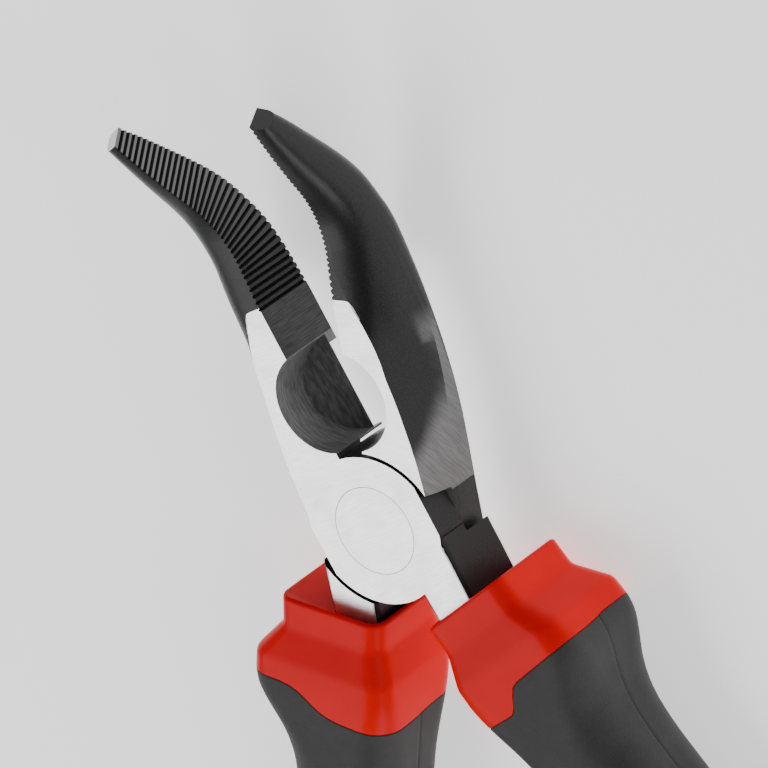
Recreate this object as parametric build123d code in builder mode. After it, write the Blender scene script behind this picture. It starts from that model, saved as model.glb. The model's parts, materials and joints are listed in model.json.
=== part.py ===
from build123d import *
from math import cos, radians, sin
import os

os.makedirs("parts", exist_ok=True)

# ---- driving dimensions, millimetres and degrees ----
joint_thickness = 9.0        # across both laps, ground face to ground face
half_width = 8.6             # pivot axis to the side of the joint
boss_radius = 9.15           # round end of each lap
shoulder_radius = 9.65       # clearance circle round the other half's boss
shoulder_fillet = 0.2        # where a shoulder meets the sliding face
lap_gap = 0.02               # between the two sliding lap faces
contact_gap = 0.04           # jaw face to the plane where the two jaws meet
jaw_offset = 0.4             # that plane to the pivot axis, towards +X
opening_at_rest = 21.8       # angle between the two jaw faces as drawn

rivet_shank_radius = 3.4
rivet_head_radius = 5.45     # ground flush circle seen on both faces
rivet_head_depth = 1.6
running_clearance = 0.03

cutter_start = 9.9           # ends of the cutting edge, from the pivot axis
cutter_end = 22.0
cutter_depth = 4.7           # scoop, outwards from the cutting edge
cutter_edge_height = 1.5     # cutting edge above the back face
cutter_wall_floor = 4.4      # height of the bevel where it meets the scoop wall
back_bevel_width = 2.2
back_bevel_end = 20.8

ground_length = 30.0         # the faces are ground flat from the joint to here
bend_start = 32.2            # along the jaw, where the nose starts to lean forward
bend_radius = 19.7
bend_angle = 38.5
nose_length = 57.6           # pivot axis to tip, along the bent centre line
jaw_steps = 20               # sections in the jaw loft
jaw_easing = 3.0             # the listed jaw sizes are averaged over this distance each way

tip_slope = 0.3              # the tip is ground back as it goes outwards from the jaw face
tip_trim = 0.15              # taken off the very end, so the ground facet is one clean face

tooth_start = 28.4
tooth_pitch = 0.81
tooth_count = 36
tooth_groove = 0.46
tooth_depth = 0.3

grip_lean = 12.0             # the grips start out leaning away from the centre line
grip_origin = (7.8, -10.3)   # middle of the collar's upper end
cover_wall = 2.6

grip_corner = 0.38           # corner radius as a share of the smaller side
bar_corner = 0.6
tab_start = 10.6             # the hard collar runs this far down on the inner half
tab_end = 12.9
tab_inner = -12.0
tab_outer = 1.5

lap_height = joint_thickness / 2

# distance along the jaw, width across, middle offset, depth, ground front flat,
# crease from the middle, roundness of the forged flank, back corner
jaw_sections = [
    (0.0, 9.1, 0.0, 8.6, 8.4, -0.8, 0.56, 0.25),
    (6.0, 9.1, 0.0, 8.6, 8.1, -1.1, 0.56, 0.25),
    (12.0, 9.1, 0.0, 8.6, 7.3, -1.8, 0.56, 0.25),
    (16.5, 9.1, 0.0, 8.3, 6.3, -2.5, 0.56, 0.4),
    (20.5, 9.1, 0.0, 7.8, 5.3, -3.0, 0.62, 0.6),
    (24.5, 9.1, 0.0, 7.2, 4.4, -2.8, 0.75, 1.0),
    (27.0, 9.1, 0.0, 7.0, 3.5, -2.0, 0.88, 1.6),
    (29.0, 9.0, 0.0, 6.8, 1.2, -1.2, 1.0, 2.2),
    (34.0, 8.1, -0.1, 6.0, 0.8, -0.5, 1.0, 2.8),
    (40.0, 6.8, -0.1, 5.0, 0.7, 0.0, 1.0, 2.8),
    (46.0, 5.7, 0.0, 4.0, 0.6, 0.0, 1.0, 2.4),
    (52.0, 4.4, 0.0, 3.0, 0.5, 0.0, 1.0, 1.8),
    (57.6, 2.5, 0.0, 2.1, 0.4, 0.0, 1.0, 0.9),
]

# rings round the grip: distance down its leaning axis, inner edge, outer edge, thickness
collar_upper = [(0.3, -6.7, 6.4, 12.4), (4.0, -6.7, 6.4, 12.8)]
collar_lower = [(4.0, -6.7, 6.4, 12.8), (7.9, -8.2, 9.6, 14.9), (10.7, -8.4, 10.0, 15.2)]
cover_upper = [
    (10.7, -8.4, 10.0, 15.2),
    (12.6, -8.5, 10.0, 15.2),
    (15.0, -8.4, 8.9, 15.0),
    (18.0, -8.2, 7.4, 14.7),
    (22.0, -7.9, 6.5, 14.4),
    (27.0, -7.7, 6.4, 14.3),
    (32.0, -7.6, 6.7, 14.3),
]

# further down, in each half's own frame: x, y, lean, width, thickness
cover_lower = [
    (16.5, -58.2, 6.0, 15.2, 14.0),
    (17.6, -76.0, 0.0, 16.0, 13.4),
    (16.8, -95.0, -6.0, 15.0, 12.6),
    (14.3, -112.0, -10.0, 13.5, 11.6),
    (13.2, -118.0, -11.0, 11.0, 9.6),
]
bar_stations = [
    (5.15, -3.6, 0.0, 6.75, 9.0),
    (5.15, -8.0, 0.0, 6.65, 9.0),
    (5.20, -12.0, 6.0, 6.4, 9.0),
    (8.80, -21.0, 14.0, 6.2, 7.4),
    (10.80, -31.0, 12.0, 6.2, 6.8),
    (13.72, -44.0, 12.0, 6.4, 6.4),
    (16.40, -58.2, 6.0, 6.2, 6.0),
    (17.60, -76.0, 0.0, 6.0, 5.6),
    (16.80, -95.0, -6.0, 5.6, 5.0),
    (14.90, -109.0, -10.0, 5.0, 4.6),
]


def nose_plane(side, station):
    """Plane across a jaw, at a distance from the pivot along the bent nose."""
    turned = min(max(station - bend_start, 0), bend_radius * radians(bend_angle))
    lean = turned / bend_radius
    straight = station - turned - min(station, bend_start)
    along = min(station, bend_start) + bend_radius * sin(lean) + straight * cos(lean)
    rise = bend_radius * (1 - cos(lean)) + straight * sin(lean)
    return Plane(
        origin=(jaw_offset + side * contact_gap, along, lap_height + rise),
        x_dir=(0, -sin(lean), cos(lean)),
        z_dir=(0, side * cos(lean), side * sin(lean)),
    )


def handle_plane(hand, x, y, lean):
    """Plane across a handle on the side given by hand, normal running down the handle."""
    run = radians(lean)
    return Plane(
        origin=(hand * x, y, lap_height),
        x_dir=(hand * cos(run), sin(run), 0),
        z_dir=(hand * sin(run), -cos(run), 0),
    )


def grip_plane(hand, distance):
    """Plane across the grip collar, at a distance down its leaning axis."""
    run = radians(grip_lean)
    x = grip_origin[0] + distance * sin(run)
    y = grip_origin[1] - distance * cos(run)
    return handle_plane(hand, x, y, grip_lean)


def handle_bar(hand):
    """The steel handle: a bar that starts flush with the joint and narrows inside the grip."""
    with BuildPart() as bar:
        for x, y, lean, width, thickness in bar_stations:
            with BuildSketch(handle_plane(hand, x, y, lean)):
                RectangleRounded(width, thickness, bar_corner)
        loft(ruled=True)
    return bar.part


def cover_loft(hand, shrink):
    """Outside of the long grip, or with shrink the outside of the hard sleeve under it."""
    with BuildPart() as grip:
        for distance, inner, outer, thickness in cover_upper:
            with BuildSketch(grip_plane(hand, distance)):
                with Locations(((inner + outer) / 2, 0)):
                    width = outer - inner - shrink
                    RectangleRounded(width, thickness - shrink, grip_corner * (thickness - shrink))
        for x, y, lean, width, thickness in cover_lower:
            with BuildSketch(handle_plane(hand, x, y, lean)):
                RectangleRounded(width - shrink, thickness - shrink, grip_corner * (thickness - shrink))
        loft()
    return grip.part


def collar_loft(hand, rings, corner):
    """Straight-sided stack of rounded rectangles for one step of the collar."""
    with BuildPart() as step:
        for distance, inner, outer, thickness in rings:
            with BuildSketch(grip_plane(hand, distance)):
                with Locations(((inner + outer) / 2, 0)):
                    RectangleRounded(outer - inner, thickness, corner)
        loft(ruled=True)
    return step.part


def listed_section(station):
    """The section's sizes at one distance along the jaw, straight between the listed ones."""
    station = min(max(station, 0), nose_length)
    for before, after in zip(jaw_sections, jaw_sections[1:]):
        if station <= after[0]:
            break
    share = (station - before[0]) / (after[0] - before[0])
    return [low + share * (high - low) for low, high in zip(before[1:], after[1:])]


def jaw_section(station):
    """The section's sizes at one distance along the jaw, eased so that the loft has no ripple."""
    reach = min(jaw_easing, station, nose_length - station)
    samples = [listed_section(station + reach * share) for share in (-1, -0.5, 0, 0.5, 1)]
    return [sum(column) / len(samples) for column in zip(*samples)]


def jaw_loft(side):
    """The whole jaw from the pivot to the tip, before any cut."""
    with BuildPart() as jaw:
        for index in range(jaw_steps + 1):
            station = index * nose_length / jaw_steps
            width, middle, depth, flat, crease, roundness, corner = jaw_section(station)
            # the sides stay even about the pivot at the joint, though the jaw faces are off it
            evening = side * jaw_offset * max(0, 1 - station / ground_length)
            depth -= evening
            flat -= evening
            low = middle - width / 2
            high = middle + width / 2
            with BuildSketch(nose_plane(side, station)):
                with BuildLine():
                    Line((low, 0), (high, 0))
                    Line((high, 0), (high, flat))
                    pull = (crease + roundness * (high - crease), flat + roundness * (depth - flat))
                    Bezier((high, flat), pull, (crease, depth))
                    Line((crease, depth), (low + corner, depth))
                    Bezier((low + corner, depth), (low, depth), (low, depth - corner))
                    Line((low, depth - corner), (low, 0))
                make_face()
        loft()
        end = nose_plane(side, nose_length)
        along = Plane(end.origin, x_dir=end.z_dir * side, z_dir=end.x_dir)
        reach = joint_thickness
        with BuildSketch(along.offset(-reach)):
            with BuildLine():
                Polyline(
                    (tip_slope * tip_trim - tip_trim, side * tip_trim),
                    (reach, side * tip_trim),
                    (reach, -side * reach),
                    (-tip_slope * reach - tip_trim, -side * reach),
                    close=True,
                )
            make_face()
        extrude(amount=2 * reach, mode=Mode.SUBTRACT)
        # both faces of the joint are ground flat, up to the forged nose
        for face_plane in (Plane.XY, Plane.XY.offset(joint_thickness + reach)):
            with BuildSketch(face_plane):
                with Locations((0, ground_length / 2)):
                    Rectangle(4 * half_width, ground_length + 2)
            extrude(amount=-reach, mode=Mode.SUBTRACT)
    return jaw.part


def cutter_scoop(side):
    """Pocket ground from the front face down to the straight cutting edge."""
    middle = (cutter_start + cutter_end) / 2
    face = jaw_offset - side * contact_gap
    bevel_end = jaw_offset + side * cutter_depth * 1.2
    with BuildPart() as scoop:
        with BuildSketch(Plane.XY.offset(cutter_edge_height)):
            with BuildLine():
                ThreePointArc(
                    (face, cutter_start),
                    (jaw_offset + side * cutter_depth, middle),
                    (face, cutter_end),
                )
                Line((face, cutter_end), (face, cutter_start))
            make_face()
        extrude(amount=joint_thickness)
        with BuildSketch(Plane.XZ.offset(-cutter_start + 1)):
            with BuildLine():
                Polyline(
                    (jaw_offset + side * contact_gap, cutter_edge_height),
                    (bevel_end, cutter_wall_floor),
                    (bevel_end, 0),
                    (jaw_offset + side * contact_gap, 0),
                    close=True,
                )
            make_face()
        extrude(amount=-(cutter_end - cutter_start + 2), mode=Mode.SUBTRACT)
    return scoop.part


def back_bevel(side):
    """Shallow bevel on the back face that makes the cutting edge a wedge."""
    outside = jaw_offset - side * contact_gap
    inside = jaw_offset + side * contact_gap
    bevel_end = jaw_offset + side * back_bevel_width
    with BuildPart() as bevel:
        with BuildSketch(Plane.XZ.offset(-cutter_start)):
            with BuildLine():
                Polyline(
                    (outside, -0.1),
                    (bevel_end, -0.1),
                    (bevel_end, 0),
                    (inside, cutter_edge_height - 0.1),
                    (outside, cutter_edge_height - 0.1),
                    close=True,
                )
            make_face()
        extrude(amount=-(back_bevel_end - cutter_start))
    return bevel.part


def tooth_grooves(side):
    """Grooves across the gripping face, square to the bent centre line."""
    with BuildPart() as grooves:
        for index in range(tooth_count):
            across = nose_plane(side, tooth_start + index * tooth_pitch)
            along = Plane(across.origin, x_dir=across.z_dir * side, z_dir=across.x_dir)
            with BuildSketch(along.offset(-joint_thickness)):
                with BuildLine():
                    Polyline(
                        (-tooth_groove / 2, 0.05 * side),
                        (tooth_groove / 2, 0.05 * side),
                        (tooth_groove / 2, 0),
                        (0, -tooth_depth * side),
                        (-tooth_groove / 2, 0),
                        close=True,
                    )
                make_face()
            extrude(amount=2 * joint_thickness)
    return grooves.part


def shoulder_cutter(low, lap_face):
    """Room for the other half's boss, with a fillet where the sliding face meets the shoulder."""
    with BuildPart() as room:
        with BuildSketch(Plane.XY.offset(low)):
            Circle(shoulder_radius)
        extrude(amount=joint_thickness)
        rim = room.edges().filter_by_position(Axis.Z, lap_face - 0.01, lap_face + 0.01)
        fillet(rim, shoulder_fillet)
    return room.part


def steel_half(side, room_low, lap_face):
    """One forged half in its own frame: jaw face on the YZ plane, handle on the other side."""
    with BuildPart() as half:
        add(jaw_loft(side))
        with BuildSketch():
            Circle(boss_radius)
            Rectangle(2 * half_width, 3 * boss_radius, mode=Mode.INTERSECT)
        extrude(amount=joint_thickness)
        add(handle_bar(-side))
        add(shoulder_cutter(room_low, lap_face), mode=Mode.SUBTRACT)
        add(cutter_scoop(side), mode=Mode.SUBTRACT)
        add(back_bevel(side), mode=Mode.SUBTRACT)
        add(tooth_grooves(side), mode=Mode.SUBTRACT)
    return half.part


def rivet_solid(clearance):
    """Rivet with a flush coned head at each face, swollen by the clearance."""
    with BuildPart() as body:
        with BuildSketch(Plane.XZ):
            with BuildLine():
                Polyline(
                    (0, 0),
                    (rivet_head_radius + clearance, 0),
                    (rivet_shank_radius + clearance, rivet_head_depth),
                    (rivet_shank_radius + clearance, joint_thickness - rivet_head_depth),
                    (rivet_head_radius + clearance, joint_thickness),
                    (0, joint_thickness),
                    close=True,
                )
            make_face()
        revolve(axis=Axis.Z)
    return body.part


def grip_tab(hand):
    """Block that says where the hard collar runs further down, on the inner half."""
    with BuildPart() as block:
        with BuildSketch(grip_plane(hand, tab_start)):
            with Locations(((tab_inner + tab_outer) / 2, 0)):
                Rectangle(tab_outer - tab_inner, 4 * joint_thickness)
        extrude(amount=tab_end - tab_start)
    return block.part


rest_turn = opening_at_rest / 2
lap_low = lap_height - lap_gap / 2
lap_high = lap_height + lap_gap / 2

with BuildPart() as pivot_rivet:
    add(rivet_solid(0))
pivot_rivet.part.label = "pivot_rivet"
export_step(pivot_rivet.part, "parts/pivot_rivet.step")

with BuildPart() as left_jaw_half:
    add(steel_half(-1, lap_high - joint_thickness, lap_high), rotation=(0, 0, rest_turn))
    add(rivet_solid(0), mode=Mode.SUBTRACT)
left_jaw_half.part.label = "left_jaw_half"
export_step(left_jaw_half.part, "parts/left_jaw_half.step")

with BuildPart() as right_jaw_half:
    add(steel_half(1, lap_low, lap_low), rotation=(0, 0, -rest_turn))
    add(rivet_solid(running_clearance), mode=Mode.SUBTRACT)
right_jaw_half.part.label = "right_jaw_half"
export_step(right_jaw_half.part, "parts/right_jaw_half.step")

turn = (0, 0, rest_turn)
with BuildPart() as right_grip_core:
    add(cover_loft(1, 0), rotation=turn)
    add(grip_tab(1), rotation=turn, mode=Mode.INTERSECT)
    add(cover_loft(1, 2 * cover_wall), rotation=turn)
    add(collar_loft(1, collar_upper, 2.2), rotation=turn)
    add(collar_loft(1, collar_lower, 2.6), rotation=turn)
    add(handle_bar(1), rotation=turn, mode=Mode.SUBTRACT)
right_grip_core.part.label = "right_grip_core"
export_step(right_grip_core.part, "parts/right_grip_core.step")

with BuildPart() as right_grip_cover:
    add(cover_loft(1, 0), rotation=turn)
    add(handle_bar(1), rotation=turn, mode=Mode.SUBTRACT)
    add(right_grip_core.part, mode=Mode.SUBTRACT)
right_grip_cover.part.label = "right_grip_cover"
export_step(right_grip_cover.part, "parts/right_grip_cover.step")

with BuildPart() as left_grip_core:
    mirror(right_grip_core.part, about=Plane.YZ)
left_grip_core.part.label = "left_grip_core"
export_step(left_grip_core.part, "parts/left_grip_core.step")

with BuildPart() as left_grip_cover:
    mirror(right_grip_cover.part, about=Plane.YZ)
left_grip_cover.part.label = "left_grip_cover"
export_step(left_grip_cover.part, "parts/left_grip_cover.step")
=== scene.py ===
import json
import math

import bmesh
import bpy
import numpy as np
from mathutils import Matrix, Vector


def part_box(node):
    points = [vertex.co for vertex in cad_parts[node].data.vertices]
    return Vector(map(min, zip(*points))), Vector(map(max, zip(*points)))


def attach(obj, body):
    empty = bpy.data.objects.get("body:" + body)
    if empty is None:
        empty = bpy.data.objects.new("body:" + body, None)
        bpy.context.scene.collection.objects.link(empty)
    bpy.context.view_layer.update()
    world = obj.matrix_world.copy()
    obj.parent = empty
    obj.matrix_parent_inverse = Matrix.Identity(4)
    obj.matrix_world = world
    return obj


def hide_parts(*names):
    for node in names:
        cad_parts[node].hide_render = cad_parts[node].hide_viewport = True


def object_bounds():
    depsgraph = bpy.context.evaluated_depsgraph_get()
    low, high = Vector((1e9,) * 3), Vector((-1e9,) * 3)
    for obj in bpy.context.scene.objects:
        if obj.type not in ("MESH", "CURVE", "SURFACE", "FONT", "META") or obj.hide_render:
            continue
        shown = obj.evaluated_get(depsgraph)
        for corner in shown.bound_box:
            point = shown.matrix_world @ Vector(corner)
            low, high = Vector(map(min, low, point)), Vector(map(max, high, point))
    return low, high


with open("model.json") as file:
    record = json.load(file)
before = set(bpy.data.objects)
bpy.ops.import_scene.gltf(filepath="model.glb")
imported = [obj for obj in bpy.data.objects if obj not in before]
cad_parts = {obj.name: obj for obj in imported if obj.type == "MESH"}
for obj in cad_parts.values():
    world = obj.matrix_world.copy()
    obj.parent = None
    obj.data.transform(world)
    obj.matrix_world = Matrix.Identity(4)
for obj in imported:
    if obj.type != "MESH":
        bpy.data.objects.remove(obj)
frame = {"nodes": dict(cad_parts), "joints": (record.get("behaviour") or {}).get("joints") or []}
cad_low, cad_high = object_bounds()

# ---- camera and studio, metres ----
camera_aim = Vector((0.0049, 0.0158, 0.0045))
camera_forward = Vector((-0.6491, -0.2493, -0.7187))
camera_up = Vector((0.0947, 0.9110, -0.4015))
camera_distance = 1.1255
camera_lens = 466.8           # millimetres on a 36 mm sensor

floor_size = 3.0
world_grey = 0.14
floor_glow = 0.95

# ---- the grips, millimetres, in each half's own frame ----
mm = 0.001
closing_degrees = frame["joints"][0]["range_deg"][1]
rest_turn = math.radians(closing_degrees / 2)
joint_low, joint_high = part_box("pivot_rivet")
joint_thickness = (joint_high.z - joint_low.z) / mm
rivet_radius = (joint_high.x - joint_low.x) / 2 / mm
lap_height = joint_thickness / 2
jaw_offset = 0.4              # from the pivot axis to the plane where the jaws meet
face_band = 0.06              # how near a ground plane a point has to be to count as on it

# where each finish lies on a steel half, in that half's own frame
ground_end = 30.5             # the bright ground faces stop here along the jaw
facet_start = 4.0             # ground facet on the jaw's outer side
facet_inside = 5.0
facet_solid = 22.0            # it fades out from here to facet_end
facet_end = 26.0
contact_gap = 0.04            # from the meeting plane to each gripping face
tooth_start = 28.3
tooth_reach = 0.5
scoop_start = 9.8
scoop_end = 22.1
scoop_reach = 4.75
tip_start = 48.0
stroke_length = 2.6
stroke_width = 0.11
ground_tones = (0.72, 0.92)
stroke_bump = (0.22, 0.00012)  # strength, and distance in metres

top_distance = 0.3            # the collar's upper end, down the leaning grip axis
top_round = 0.5
cover_wall = 2.6
seam_gap = 0.04
butt_round = 3.0
groove_half_width = 0.16
groove_depth = 0.1

# down the grip: distance, spine x, spine y, lean, inner edge, outer edge, thickness, corner
grip_keys = np.array([
    (0.0, 7.80, -10.9, 12, -7.0, 7.1, 13.0, 2.0),
    (4.0, 8.63, -14.8, 12, -7.0, 7.1, 13.2, 2.2),
    (7.9, 9.44, -18.6, 12, -8.3, 10.4, 15.4, 2.7),
    (10.6, 10.00, -21.3, 12, -8.5, 10.7, 15.6, 3.1),
    (12.8, 10.46, -23.4, 12, -8.5, 10.4, 15.5, 3.5),
    (15.0, 10.92, -25.6, 12, -8.4, 9.2, 15.1, 4.0),
    (18.0, 11.54, -28.5, 12, -8.2, 7.4, 14.7, 4.8),
    (22.0, 12.37, -32.4, 12, -7.9, 6.5, 14.4, 5.4),
    (27.0, 13.41, -37.3, 12, -7.7, 6.4, 14.3, 5.4),
    (32.0, 14.45, -42.2, 12, -7.6, 6.7, 14.3, 5.4),
    (48.2, 16.50, -58.2, 6, -7.6, 7.6, 14.0, 5.3),
    (66.0, 17.60, -76.0, 0, -8.0, 8.0, 13.4, 5.1),
    (85.0, 16.80, -95.0, -6, -7.5, 7.5, 12.6, 4.8),
    (102.3, 14.30, -112.0, -10, -6.75, 6.75, 11.6, 4.4),
    (108.4, 13.20, -118.0, -11, -5.5, 5.5, 9.6, 3.6),
])
butt_distance = grip_keys[-1][0]

# the steel tang inside the grip: x, y, lean, width, thickness
tang_keys = [
    (5.20, -12.0, 6, 6.4, 9.0),
    (8.80, -21.0, 14, 6.2, 7.4),
    (13.72, -44.0, 12, 6.4, 6.4),
    (17.60, -76.0, 0, 6.0, 5.6),
    (14.90, -109.0, -10, 5.0, 4.6),
]
tang_clearance = 0.03

# the collar's lower edge on its two broad sides: across the grip, distance down
soft_edge = np.array([
    (-8.5, 13.9), (-4.8, 13.6), (-2.0, 13.5), (0.3, 13.1),
    (2.1, 11.8), (3.7, 10.6), (6.0, 10.3), (10.2, 10.2),
])
step_edge = np.array([
    (-8.5, 13.4), (-1.8, 13.8), (-1.0, 13.5),
    (-0.2, 11.5), (0.6, 11.0), (10.2, 10.6),
])
collar_rise = {1: 0.0, -1: 1.2}  # each collar sits this much nearer the joint than the sizes above
rise_fade = 40.0                 # the difference dies away down the grip


class Recipe:
    """One procedural material, with short calls for the nodes that it is built from."""

    def __init__(self, name):
        self.material = bpy.data.materials.new(name)
        self.material.use_nodes = True
        self.tree = self.material.node_tree
        self.shader = self.tree.nodes["Principled BSDF"]

    def node(self, kind, inputs=(), **settings):
        made = self.tree.nodes.new(kind)
        for key, value in settings.items():
            setattr(made, key, value)
        for key, value in dict(inputs).items():
            self.plug(value, made.inputs[key])
        return made

    def plug(self, value, socket):
        if isinstance(value, bpy.types.NodeSocket):
            self.tree.links.new(value, socket)
        else:
            socket.default_value = value

    def math(self, operation, a, b=0.0):
        return self.node("ShaderNodeMath", {0: a, 1: b}, operation=operation).outputs[0]

    def both(self, *masks):
        """The product of masks: all of them have to hold."""
        result = masks[0]
        for mask in masks[1:]:
            result = self.math("MULTIPLY", result, mask)
        return result

    def ramp(self, value, low, high, to_low=0.0, to_high=1.0):
        """Goes smoothly from to_low to to_high as value goes from low to high."""
        inputs = {"Value": value, "From Min": low, "From Max": high, "To Min": to_low, "To Max": to_high}
        return self.node("ShaderNodeMapRange", inputs, interpolation_type="SMOOTHSTEP").outputs["Result"]

    def above(self, value, limit):
        return self.math("GREATER_THAN", value, limit)

    def below(self, value, limit):
        return self.math("LESS_THAN", value, limit)

    def near(self, value, target, band):
        """One where value is within band of target, else zero."""
        return self.math("LESS_THAN", self.math("ABSOLUTE", self.math("SUBTRACT", value, target)), band)

    def scaled(self, vector, factors):
        return self.node("ShaderNodeVectorMath", {0: vector, 1: factors}, operation="MULTIPLY").outputs[0]

    def turned(self, vector, angle):
        inputs = {"Vector": vector, "Angle": angle}
        return self.node("ShaderNodeVectorRotate", inputs, rotation_type="Z_AXIS").outputs["Vector"]

    def noise(self, vector, scale, detail=4.0, roughness=0.6):
        inputs = {"Vector": vector, "Scale": scale, "Detail": detail, "Roughness": roughness}
        return self.node("ShaderNodeTexNoise", inputs).outputs["Fac"]

    def blend(self, share, a, b):
        """Number or colour that goes from a to b with share."""
        colour = isinstance(a, tuple) or isinstance(b, tuple) or getattr(a, "type", "") == "RGBA"
        made = self.node("ShaderNodeMix", data_type="RGBA" if colour else "FLOAT")
        names = (6, 7, 2) if colour else (2, 3, 0)
        self.plug(share, made.inputs[0])
        self.plug(a, made.inputs[names[0]])
        self.plug(b, made.inputs[names[1]])
        return made.outputs[names[2]]

    def bump(self, height, strength, distance):
        inputs = {"Height": height, "Strength": strength, "Distance": distance}
        normal = self.node("ShaderNodeBump", inputs).outputs["Normal"]
        self.plug(normal, self.shader.inputs["Normal"])

    def finish(self, **values):
        for key, value in values.items():
            self.plug(value, self.shader.inputs[key.replace("_", " ")])
        return self.material


def grey(level, tint=1.0):
    """A near-neutral colour, slightly cool when tint is above one."""
    return (level, level, level * tint, 1.0)


def half_coordinates(recipe, side):
    """Point in millimetres and normal in one half's own frame, x counted outwards from its jaw face."""
    source = recipe.node("ShaderNodeTexCoord")
    mirror = (side, 1.0, 1.0)
    point = recipe.turned(source.outputs["Object"], side * rest_turn)
    point = recipe.scaled(point, tuple(value / mm for value in mirror))
    shift = (-side * jaw_offset, 0.0, 0.0)
    point = recipe.node("ShaderNodeVectorMath", {0: point, 1: shift}, operation="ADD").outputs[0]
    normal = recipe.scaled(recipe.turned(source.outputs["Normal"], side * rest_turn), mirror)
    return point, normal


def split(recipe, vector):
    """The three components of a vector."""
    return recipe.node("ShaderNodeSeparateXYZ", {0: vector}).outputs[:]


def ground_colour(recipe, point):
    """Light steel with fine strokes along x: the colour and the stroke height."""
    stretched = recipe.scaled(point, (1 / stroke_length, 1 / stroke_width, 1 / stroke_width))
    strokes = recipe.noise(stretched, 1.0)
    clouds = recipe.noise(point, 0.25, detail=2.0)
    tone = recipe.math("ADD", recipe.math("MULTIPLY", strokes, 0.65), recipe.math("MULTIPLY", clouds, 0.35))
    low, high = ground_tones
    return recipe.blend(recipe.ramp(tone, 0.34, 0.66), grey(low), grey(high)), strokes


def steel_half(name, side):
    """Forged and blackened steel, ground bright on its flat faces, with worn tooth crests painted lighter towards
    the tip as a painted highlight.
    """
    recipe = Recipe(name)
    point, normal = half_coordinates(recipe, side)
    x, y, z = split(recipe, point)
    nx, ny, nz = split(recipe, normal)

    flat = recipe.above(recipe.math("ABSOLUTE", nz), 0.92)
    level = recipe.near(z, 0.0, face_band)
    for height in (lap_height, joint_thickness):
        level = recipe.math("MAXIMUM", level, recipe.near(z, height, face_band))
    bright = recipe.both(flat, level, recipe.below(y, ground_end))
    flank = recipe.both(
        recipe.ramp(nx, 0.965, 0.985),
        recipe.above(x, facet_inside),
        recipe.ramp(y, facet_end, facet_solid),
        recipe.above(y, facet_start),
    )
    tip = recipe.both(
        recipe.above(y, tip_start),
        recipe.above(ny, 0.66),
        recipe.above(nx, 0.15),
        recipe.below(nx, 0.4),
    )
    jaw_face = recipe.both(recipe.below(nx, -0.9), recipe.near(x, contact_gap, 0.05))
    crest = recipe.both(jaw_face, recipe.above(y, tooth_start))
    groove = recipe.both(
        recipe.below(nx, -0.2),
        recipe.above(x, contact_gap + 0.02),
        recipe.below(x, tooth_reach),
        recipe.above(y, tooth_start - 0.3),
    )
    scoop = recipe.both(
        recipe.above(y, scoop_start),
        recipe.below(y, scoop_end),
        recipe.below(x, scoop_reach),
        recipe.math("SUBTRACT", 1.0, bright),
    )

    ground, strokes = ground_colour(recipe, point)
    slant = {"Vector": point, "Angle": math.radians(-38)}
    diagonal = recipe.node("ShaderNodeVectorRotate", slant, rotation_type="X_AXIS").outputs["Vector"]
    mark_lines = recipe.noise(recipe.scaled(diagonal, (0.2, 0.35, 6.0)), 1.0)
    facet = recipe.blend(recipe.ramp(mark_lines, 0.3, 0.7), grey(0.13), grey(0.19))
    grain = recipe.noise(point, 9.0, detail=5.0)
    forged = recipe.blend(recipe.ramp(grain, 0.35, 0.7), grey(0.012, 1.05), grey(0.028, 1.05))
    across = recipe.noise(recipe.scaled(point, (1.0, 7.0, 0.35)), 1.0)
    face = recipe.blend(recipe.ramp(across, 0.35, 0.65), grey(0.035), grey(0.075))
    # tooth crest colour: worn steel, plus a painted highlight that lightens it from the joint towards the tip
    worn_and_lit_crest = recipe.blend(recipe.ramp(y, 30.0, 50.0), grey(0.035), grey(0.15))
    ring_marks = recipe.ramp(recipe.noise(recipe.scaled(point, (0.6, 0.6, 5.0)), 1.0), 0.35, 0.65)

    colour = recipe.blend(flank, forged, facet)
    colour = recipe.blend(jaw_face, colour, face)
    colour = recipe.blend(crest, colour, worn_and_lit_crest)
    colour = recipe.blend(groove, colour, grey(0.012))
    colour = recipe.blend(scoop, colour, recipe.blend(ring_marks, grey(0.14), grey(0.26)))
    colour = recipe.blend(bright, colour, ground)
    # the tip facet is ground steel on both halves; on the right half it is painted dark as painted shade
    colour = recipe.blend(tip, colour, grey(0.16 if side > 0 else 0.60))

    shine = recipe.math("MAXIMUM", bright, recipe.math("MAXIMUM", flank, recipe.math("MAXIMUM", crest, tip)))
    height = recipe.blend(bright, recipe.blend(flank, grain, mark_lines), strokes)
    recipe.bump(height, *stroke_bump)
    return recipe.finish(
        Base_Color=colour,
        Metallic=recipe.blend(shine, 0.15, 0.85),
        Roughness=recipe.blend(shine, 0.33, 0.38),
        Specular_IOR_Level=0.22,
    )


def rivet_steel():
    """Ground flush with the joint: the same light steel, and a thin dark line at the rim."""
    recipe = Recipe("rivet_steel")
    source = recipe.node("ShaderNodeTexCoord").outputs["Object"]
    point = recipe.turned(recipe.scaled(source, (1 / mm,) * 3), -rest_turn)
    x, y, _ = split(recipe, point)
    radius = recipe.math("SQRT", recipe.math("ADD", recipe.both(x, x), recipe.both(y, y)))
    ground, strokes = ground_colour(recipe, point)
    rim = recipe.ramp(radius, rivet_radius - 0.13, rivet_radius - 0.05)
    recipe.bump(strokes, *stroke_bump)
    return recipe.finish(
        Base_Color=recipe.blend(rim, ground, grey(0.10)),
        Metallic=0.85,
        Roughness=0.38,
    )


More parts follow.
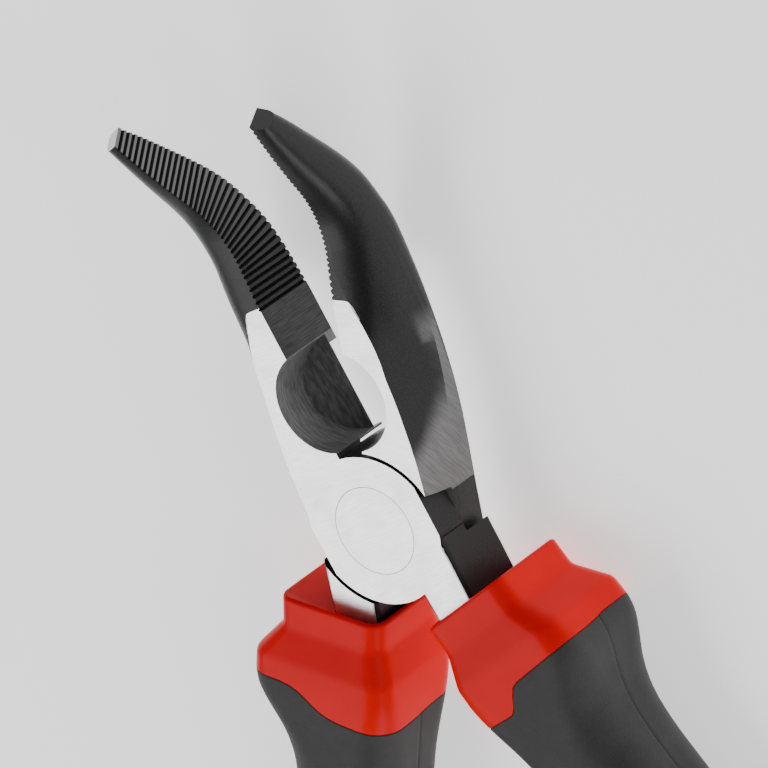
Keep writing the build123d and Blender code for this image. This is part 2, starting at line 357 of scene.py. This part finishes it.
def hard_plastic():
    """Satin red moulding with a faint orange-peel surface."""
    recipe = Recipe("hard_grip")
    point = recipe.scaled(recipe.node("ShaderNodeTexCoord").outputs["Object"], (1 / mm,) * 3)
    clouds = recipe.noise(point, 0.18, detail=2.0)
    peel = recipe.noise(point, 2.6, detail=3.0)
    recipe.bump(peel, 0.18, 0.00008)
    return recipe.finish(
        Base_Color=recipe.blend(clouds, (0.76, 0.0, 0.003, 1.0), (0.88, 0.002, 0.005, 1.0)),
        Roughness=recipe.blend(peel, 0.30, 0.38),
        Specular_IOR_Level=0.06,
    )


def soft_rubber():
    """Black-grey rubber with a fine eroded grain."""
    recipe = Recipe("soft_grip")
    point = recipe.scaled(recipe.node("ShaderNodeTexCoord").outputs["Object"], (1 / mm,) * 3)
    clouds = recipe.noise(point, 0.3, detail=3.0)
    grain = recipe.noise(point, 7.0, detail=3.0, roughness=0.7)
    specks = recipe.ramp(grain, 0.60, 0.74)
    base = recipe.blend(clouds, grey(0.030), grey(0.052))
    recipe.bump(grain, 0.45, 0.00012)
    return recipe.finish(
        Base_Color=recipe.blend(specks, base, grey(0.085)),
        Roughness=recipe.blend(grain, 0.50, 0.66),
        Specular_IOR_Level=0.25,
    )


def grip_size(distance):
    """The grip's eight sizes at a distance, with every change of slope softened as in a moulding."""
    softness = np.interp(distance, (9.0, 12.0, 24.0), (0.35, 0.7, 3.0))
    offsets = np.linspace(-2.0, 2.0, 9)
    weights = np.exp(-offsets ** 2 / 2)
    at = np.clip(distance + offsets * softness, 0.0, butt_distance)
    return [float(np.average(np.interp(at, grip_keys[:, 0], column), weights=weights)) for column in grip_keys.T]


def ring_shape(inner, outer, thickness, corner, groove=0.0):
    """Points round a rounded rectangle, anticlockwise from the outer side's middle, with a seam on each side."""
    half = thickness / 2
    points = []
    for side in (1, -1):
        edge = outer if side > 0 else inner
        other = inner if side > 0 else outer
        rise = [0.0, groove_half_width, 0.6, 1.4]
        rise += [1.4 + (half - corner - 1.4) * share for share in (0.35, 0.7)] if half - corner > 1.6 else [1.5, 1.6]
        for height in rise:
            points.append((edge - side * (groove if height == 0.0 else 0.0), side * height))
        for step in range(11):
            angle = math.pi / 2 * step / 10
            middle = edge - side * corner
            height = half - corner + corner * math.sin(angle)
            points.append((middle + side * corner * math.cos(angle), side * height))
        for share in np.linspace(0, 1, 14)[1:-1]:
            start = edge - side * corner
            end = other + side * corner
            points.append((start + share * (end - start), side * half))
        for step in range(11):
            angle = math.pi / 2 * step / 10
            middle = other + side * corner
            height = half - corner + corner * math.cos(angle)
            points.append((middle - side * corner * math.sin(angle), side * height))
        for height in reversed(rise[1:]):
            points.append((other, side * height))
    return points


def placed(hand, x, y, lean, across, up, rise=0.0):
    """A point of a handle's section in the row frame, in metres."""
    run = math.radians(lean)
    along = Vector((-math.sin(run), math.cos(run))) * rise
    local = Vector((
        hand * (x + along.x + across * math.cos(run)),
        y + along.y + across * math.sin(run),
        lap_height + up,
    ))
    return Matrix.Rotation(hand * rest_turn, 3, "Z") @ local * mm


def grip_ring(hand, distances, inset=0.0, groove=0.0):
    """One ring of the grip. distances is one number, or one for each point of the ring."""
    count = len(ring_shape(-8, 8, 15, 3))
    many = np.broadcast_to(np.asarray(distances, float), (count,))
    sizes = {}
    ring = []
    for index, distance in enumerate(many):
        key = round(float(distance), 3)
        if key not in sizes:
            _, x, y, lean, inner, outer, thickness, corner = grip_size(key)
            corner = max(corner - inset, 0.6)
            shape = ring_shape(inner + inset, outer - inset, thickness - 2 * inset, corner, groove)
            sizes[key] = (x, y, lean, shape)
        x, y, lean, shape = sizes[key]
        rise = collar_rise[hand] * max(0.0, 1 - float(distance) / rise_fade)
        ring.append(placed(hand, x, y, lean, *shape[index], rise))
    return ring


def tang_ring(hand, station):
    x, y, lean, width, thickness = station
    half = width / 2 + tang_clearance
    shape = ring_shape(-half, half, thickness + 2 * tang_clearance, 0.6)
    return [placed(hand, x, y, lean, *point) for point in shape]


def lower_edge(hand):
    """How far down the hard collar runs, for each point round the grip."""
    _, _, _, _, inner, outer, thickness, corner = grip_size(11.5)
    edge = []
    for across, up in ring_shape(inner, outer, thickness, corner):
        front = min(max(hand * up / 6 + 0.5, 0.0), 1.0)
        front = front * front * (3 - 2 * front)
        stepped = np.interp(across, step_edge[:, 0], step_edge[:, 1])
        curved = np.interp(across, soft_edge[:, 0], soft_edge[:, 1])
        edge.append(front * stepped + (1 - front) * curved)
    near = np.array(edge)
    return (np.roll(near, 1) + 2 * near + np.roll(near, -1)) / 4


def closed_mesh(name, rings, body, node, material):
    """A closed piece from rings joined in order, with the first and last ring capped."""
    mesh = bmesh.new()
    rows = [[mesh.verts.new(point) for point in ring] for ring in rings]
    count = len(rows[0])
    for first, second in zip(rows, rows[1:]):
        for index in range(count):
            after = (index + 1) % count
            mesh.faces.new((first[index], first[after], second[after], second[index]))
    for row in (rows[0], rows[-1]):
        centre = mesh.verts.new(sum((vertex.co for vertex in row), Vector()) / count)
        for index in range(count):
            mesh.faces.new((row[index], row[(index + 1) % count], centre))
    bmesh.ops.recalc_face_normals(mesh, faces=mesh.faces)
    data = bpy.data.meshes.new(name)
    mesh.to_mesh(data)
    mesh.free()
    data.polygons.foreach_set("use_smooth", [True] * len(data.polygons))
    data.set_sharp_from_angle(angle=math.radians(50))
    data.materials.append(material)
    piece = bpy.data.objects.new(name, data)
    bpy.context.scene.collection.objects.link(piece)
    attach(piece, body)
    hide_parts(node)
    return piece


def eased(low, high, count):
    """Numbers from low to high, closer together towards low."""
    return [low + (high - low) * (step / count) ** 2 for step in range(count + 1)]


def hard_core(hand, name, body, material):
    """The red collar, and the thinner sleeve that it forms under the soft cover."""
    edge = lower_edge(hand)
    rings = [tang_ring(hand, station) for station in reversed(tang_keys)]
    rings.append(grip_ring(hand, top_distance, inset=top_round))
    for step in range(1, 6):
        angle = math.pi / 2 * step / 5
        drop = top_round * (1 - math.cos(angle))
        rings.append(grip_ring(hand, top_distance + drop, inset=top_round * (1 - math.sin(angle))))
    for distance in np.arange(top_distance + top_round + 0.2, 10.3, 0.25):
        rings.append(grip_ring(hand, distance))
    for share in np.linspace(0, 1, 10)[1:]:
        rings.append(grip_ring(hand, 10.3 + share * (edge - seam_gap - 10.3)))
    rings.append(grip_ring(hand, edge + 0.02, inset=0.12))
    sleeve_end = butt_distance - cover_wall
    for distance in (17.0, 24.0, *np.arange(32.0, sleeve_end, 8.0), sleeve_end):
        rings.append(grip_ring(hand, distance, inset=cover_wall))
    return closed_mesh(name + "_shell", rings, body, name, material)


def soft_cover(hand, name, body, material):
    """The black cover: an open-topped sleeve with a domed butt."""
    edge = lower_edge(hand)
    inside = cover_wall - 0.05
    bore = (butt_distance - inside, *np.arange(96.0, 20.0, -8.0), 17.0)
    rings = [grip_ring(hand, distance, inset=inside) for distance in bore]
    rings.append(grip_ring(hand, edge + 0.1, inset=0.35))
    rings.append(grip_ring(hand, edge + seam_gap, inset=0.14))
    rings.append(grip_ring(hand, edge + 0.12, inset=0.03, groove=groove_depth))
    for share in eased(0.0, 1.0, 12)[1:]:
        rings.append(grip_ring(hand, edge + 0.12 + share * (20.0 - edge - 0.12), groove=groove_depth))
    for distance in [*np.arange(20.5, 34.0, 0.75), *np.arange(34.5, butt_distance - butt_round, 1.5)]:
        rings.append(grip_ring(hand, distance, groove=groove_depth))
    for step in range(7):
        angle = math.pi / 2 * step / 6
        distance = butt_distance - butt_round + butt_round * math.sin(angle)
        rings.append(grip_ring(hand, distance, inset=butt_round * (1 - math.cos(angle))))
    return closed_mesh(name + "_skin", rings, body, name, material)


def dress_steel():
    """Materials on the three steel CAD nodes, whose shapes stay as they are."""
    finishes = {
        "left_jaw_half": steel_half("left_forged_steel", -1),
        "right_jaw_half": steel_half("right_forged_steel", 1),
        "pivot_rivet": rivet_steel(),
    }
    for node, material in finishes.items():
        piece = frame["nodes"][node]
        piece.data.materials.clear()
        piece.data.materials.append(material)


def dress_grips():
    """The visible grips, which stand in for the four CAD grip nodes."""
    red = hard_plastic()
    black = soft_rubber()
    for hand, side_name, body in ((1, "right", "left_jaw_lever"), (-1, "left", "right_jaw_lever")):
        hard_core(hand, side_name + "_grip_core", body, red)
        soft_cover(hand, side_name + "_grip_cover", body, black)


def add_floor():
    """A pale sweep under the object."""
    mesh = bmesh.new()
    bmesh.ops.create_grid(mesh, x_segments=1, y_segments=1, size=floor_size)
    data = bpy.data.meshes.new("floor")
    mesh.to_mesh(data)
    mesh.free()
    recipe = Recipe("floor_paper")
    point = recipe.node("ShaderNodeTexCoord").outputs["Object"]
    tone = recipe.noise(point, 3.0, detail=2.0)
    paper = recipe.blend(tone, grey(0.93), grey(0.96))
    data.materials.append(recipe.finish(
        Base_Color=paper, Roughness=0.9, Emission_Color=paper, Emission_Strength=floor_glow
    ))
    floor = bpy.data.objects.new("floor", data)
    floor.location.z = cad_low.z
    bpy.context.scene.collection.objects.link(floor)


def add_softbox(name, direction, distance, size, power):
    """A square area light that faces the joint from a direction."""
    data = bpy.data.lights.new(name, "AREA")
    data.shape = "RECTANGLE"
    data.size, data.size_y = size
    data.energy = power
    light = bpy.data.objects.new(name, data)
    away = Vector(direction).normalized()
    light.location = camera_aim + away * distance
    light.rotation_euler = away.to_track_quat("Z", "Y").to_euler()
    bpy.context.scene.collection.objects.link(light)


def add_studio():
    """A dim world and three softboxes."""
    world = bpy.data.worlds.new("studio")
    world.use_nodes = True
    world.node_tree.nodes["Background"].inputs["Color"].default_value = grey(world_grey)
    bpy.context.scene.world = world
    add_softbox("key", (-0.65, -0.18, 0.72), 0.9, (0.8, 0.6), 6.0)
    add_softbox("side", (0.90, -0.20, 0.30), 0.9, (0.22, 0.8), 2.4)
    add_softbox("low", (0.25, -0.90, 0.30), 0.9, (0.5, 0.35), 3.2)


def add_camera():
    """The long lens that looks down on the joint."""
    data = bpy.data.cameras.new("camera")
    data.lens = camera_lens
    data.sensor_width = 36.0
    data.clip_end = 20.0
    camera = bpy.data.objects.new("camera", data)
    back = -camera_forward.normalized()
    right = camera_up.cross(back).normalized()
    camera.matrix_world = Matrix.Translation(camera_aim + back * camera_distance) @ Matrix(
        (right, back.cross(right), back)
    ).transposed().to_4x4()
    bpy.context.scene.collection.objects.link(camera)
    bpy.context.scene.camera = camera


dress_steel()
dress_grips()
add_floor()
add_studio()
add_camera()
